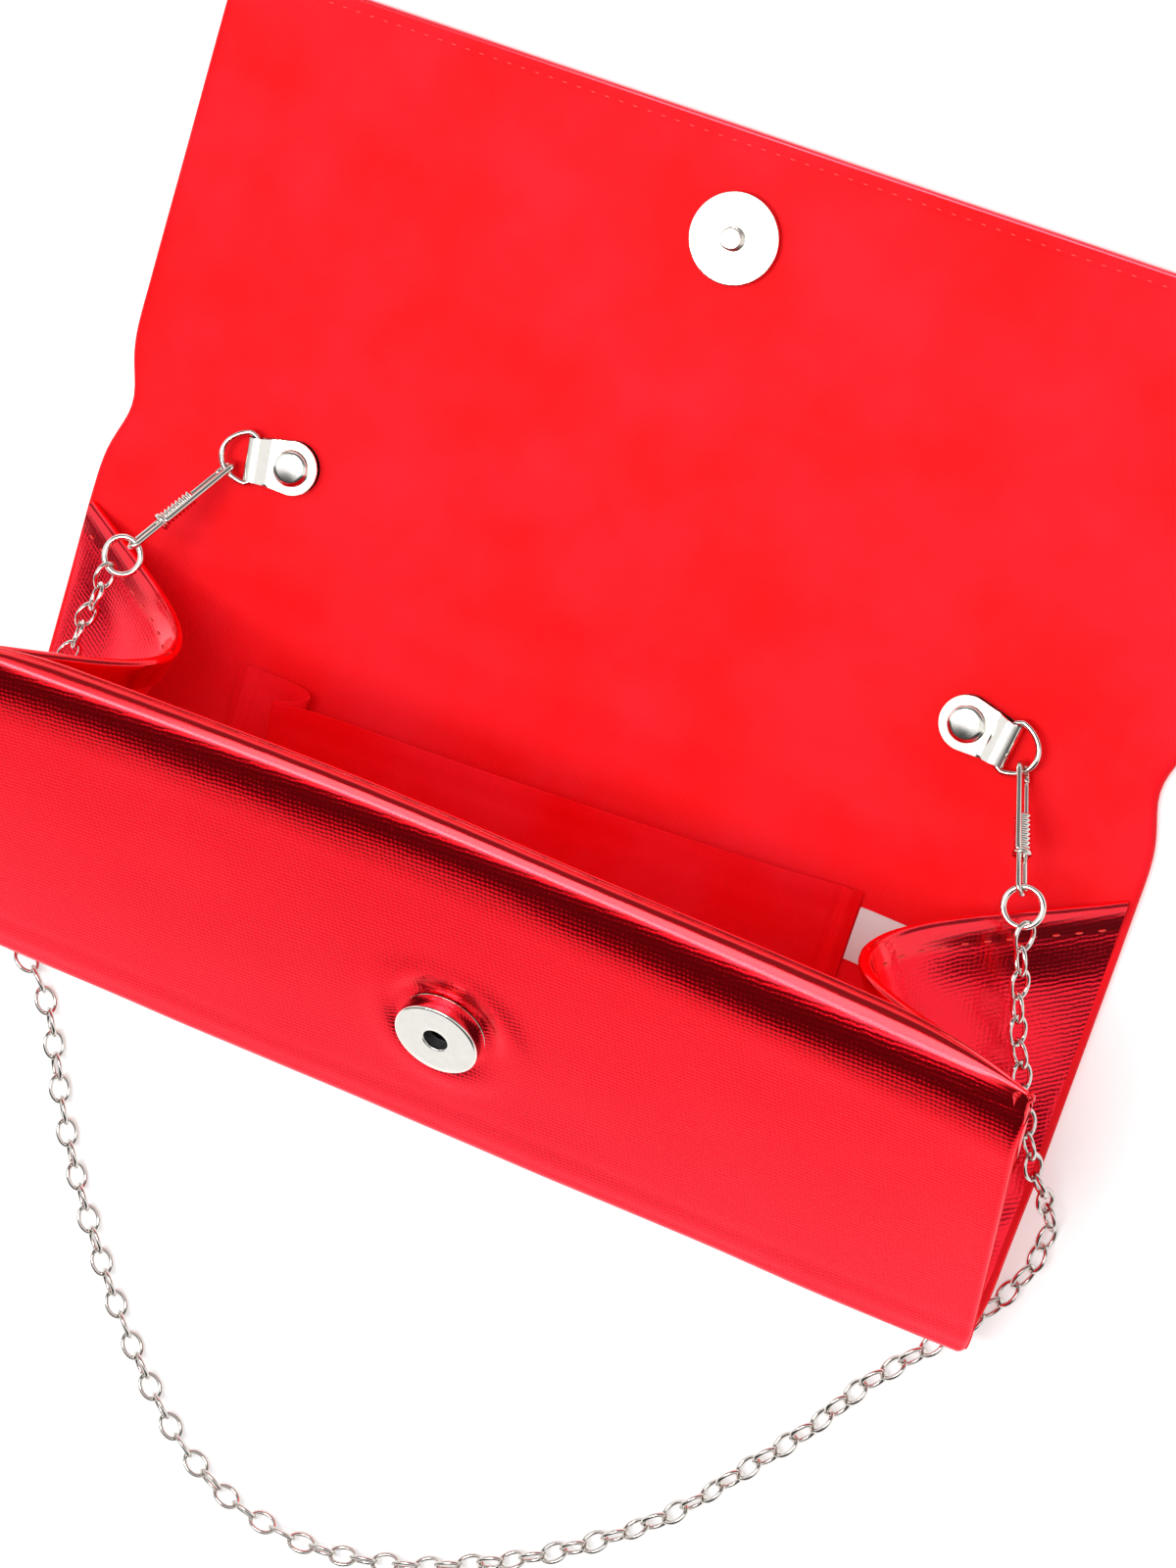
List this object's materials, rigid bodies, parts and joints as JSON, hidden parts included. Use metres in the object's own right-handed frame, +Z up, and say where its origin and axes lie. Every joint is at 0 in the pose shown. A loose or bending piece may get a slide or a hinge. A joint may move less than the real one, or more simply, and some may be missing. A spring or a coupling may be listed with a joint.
{
  "type": "clutch purse",
  "caption": "Slim envelope clutch purse lying open: folding gusseted body, flap on a creased band with a magnetic snap, and a chain strap clipped to riveted D-rings.",
  "frame": {"origin": "on the table, under the middle of the opened panels (chain and clips left out)", "axes": "+X across the bag to the right, +Y from the bottom fold to the flap, +Z up from the table"},
  "size_m": [0.2463, 0.3148, 0.0622],
  "materials": {
    "leather": "embossed cross-grain with a metallic red sheen",
    "lining": "red satin twill",
    "board": "plain grey stiffener",
    "nickel": "bright nickel plate",
    "chain_steel": "bright curb links",
    "magnet": "black ferrite",
    "label": "bare white tape"
  },
  "bodies": {
    "root": {"back_board": "board", "back_lining": "lining", "back_outer": "leather", "care_label": "label", "chain_floor": "chain_steel", "slip_pocket": "lining"},
    "top_band": {"band_board": "board", "band_lining": "lining", "band_outer": "leather", "rivet_left": "nickel", "rivet_right": "nickel", "rivet_washer_left": "nickel", "rivet_washer_right": "nickel", "tab_plate_left": "nickel", "tab_plate_right": "nickel"},
    "flap": {"flap_board": "board", "flap_lining": "lining", "flap_outer": "leather", "snap_disc": "nickel", "snap_disc_washer": "nickel"},
    "front": {"front_board": "board", "front_lining": "lining", "front_outer": "leather", "snap_base": "nickel", "snap_base_washer": "nickel", "snap_cup": "nickel", "snap_magnet": "magnet"},
    "gusset_back_left": {"gusset_back_left": "leather", "gusset_back_lining_left": "lining"},
    "gusset_back_right": {"gusset_back_lining_right": "lining", "gusset_back_right": "leather"},
    "gusset_front_left": {"gusset_front_left": "leather", "gusset_front_lining_left": "lining"},
    "gusset_front_right": {"gusset_front_lining_right": "lining", "gusset_front_right": "leather"},
    "d_ring_left": {"d_ring_left": "nickel"},
    "d_ring_right": {"d_ring_right": "nickel"},
    "clip_left": {"clip_frame_left": "nickel", "jump_ring_left": "nickel"},
    "clip_right": {"clip_frame_right": "nickel", "jump_ring_right": "nickel"},
    "gate_left": {"clip_gate_left": "nickel"},
    "gate_right": {"clip_gate_right": "nickel"},
    "chain_left": {"chain_left": "chain_steel"},
    "chain_right": {"chain_right": "chain_steel"}
  },
  "joints": [
    {"name": "flap_fold", "type": "hinge", "parent": "root", "child": "top_band", "pos_m": [0, -0.011, 0.0031], "axis": [1, 0, 0], "range_deg": [0, 94.24], "deforming": ["chain_left", "chain_right"]},
    {"name": "flap_crease", "type": "hinge", "parent": "top_band", "child": "flap", "pos_m": [0, 0.0258, 0.0031], "axis": [1, 0, 0], "range_deg": [0, 98]},
    {"name": "front_swing", "type": "hinge", "parent": "root", "child": "front", "pos_m": [0, -0.1005, 0.0102], "axis": [1, 0, 0], "range_deg": [-22.2, 0]},
    {"name": "gusset_back_hinge_left", "type": "hinge", "parent": "root", "child": "gusset_back_left", "pos_m": [-0.113, -0.1005, 0.0102], "axis": [0, 0.9984, -0.0569], "range_deg": [0, 20]},
    {"name": "gusset_front_hinge_left", "type": "hinge", "parent": "front", "child": "gusset_front_left", "pos_m": [-0.113, -0.1005, 0.0102], "axis": [0, -0.8316, -0.5554], "range_deg": [0, 20]},
    {"name": "gusset_back_hinge_right", "type": "hinge", "parent": "root", "child": "gusset_back_right", "pos_m": [0.113, -0.1005, 0.0102], "axis": [0, -0.9984, 0.0569], "range_deg": [0, 20]},
    {"name": "gusset_front_hinge_right", "type": "hinge", "parent": "front", "child": "gusset_front_right", "pos_m": [0.113, -0.1005, 0.0102], "axis": [0, 0.8316, 0.5554], "range_deg": [0, 20]},
    {"name": "d_ring_swing_left", "type": "hinge", "parent": "top_band", "child": "d_ring_left", "pos_m": [-0.08144, 0.01049, 0.00475], "axis": [-0.1219, 0.9925, 0], "range_deg": [0, 16], "deforming": ["chain_left"]},
    {"name": "clip_swivel_left", "type": "hinge", "parent": "d_ring_left", "child": "clip_left", "pos_m": [-0.0866, 0.00666, 0.00564], "axis": [-0.0274, -0.7177, -0.6958], "range_deg": [0, 54.2]},
    {"name": "clip_gate_hinge_left", "type": "hinge", "parent": "clip_left", "child": "gate_left", "pos_m": [-0.09064, 0.00027, 0.0092], "axis": [0.6504, -0.6397, -0.4096], "range_deg": [0, 14], "stiffness_Nm_per_rad": 0.002},
    {"name": "d_ring_swing_right", "type": "hinge", "parent": "top_band", "child": "d_ring_right", "pos_m": [0.08144, 0.01049, 0.00475], "axis": [-0.1219, -0.9925, 0], "range_deg": [0, 16], "deforming": ["chain_right"]},
    {"name": "clip_swivel_right", "type": "hinge", "parent": "d_ring_right", "child": "clip_right", "pos_m": [0.0866, 0.00666, 0.00564], "axis": [0.2274, 0.5221, 0.822], "range_deg": [0, 54.5]},
    {"name": "clip_gate_hinge_right", "type": "hinge", "parent": "clip_right", "child": "gate_right", "pos_m": [0.09026, -0.00003, 0.00906], "axis": [0.825, 0.5389, 0.1703], "range_deg": [0, 14], "stiffness_Nm_per_rad": 0.002},
    {"name": "chain_swing_left", "type": "hinge", "parent": "root", "child": "chain_left", "pos_m": [-0.1209, -0.0795, 0.0026], "axis": [-0.5029, -0.0796, 0.8607], "range_deg": [0, 18.2]},
    {"name": "chain_swing_right", "type": "hinge", "parent": "root", "child": "chain_right", "pos_m": [0.1208, -0.0795, 0.0026], "axis": [-0.4674, 0.0986, -0.8786], "range_deg": [0, 18.1]}
  ],
  "couplings": [
    {"joint": "flap_crease", "follows": "flap_fold", "ratio": 1.0354},
    {"joint": "front_swing", "follows": "flap_fold", "ratio": -0.23325},
    {"joint": "gusset_back_hinge_left", "follows": "flap_fold", "ratio": 0.20947},
    {"joint": "gusset_front_hinge_left", "follows": "flap_fold", "ratio": 0.20947},
    {"joint": "gusset_back_hinge_right", "follows": "flap_fold", "ratio": 0.20947},
    {"joint": "gusset_front_hinge_right", "follows": "flap_fold", "ratio": 0.20947},
    {"joint": "clip_swivel_left", "follows": "flap_fold", "ratio": 0.5723},
    {"joint": "clip_swivel_right", "follows": "flap_fold", "ratio": 0.57541},
    {"joint": "chain_swing_left", "follows": "flap_fold", "ratio": 0.191},
    {"joint": "chain_swing_right", "follows": "flap_fold", "ratio": 0.18954}
  ]
}
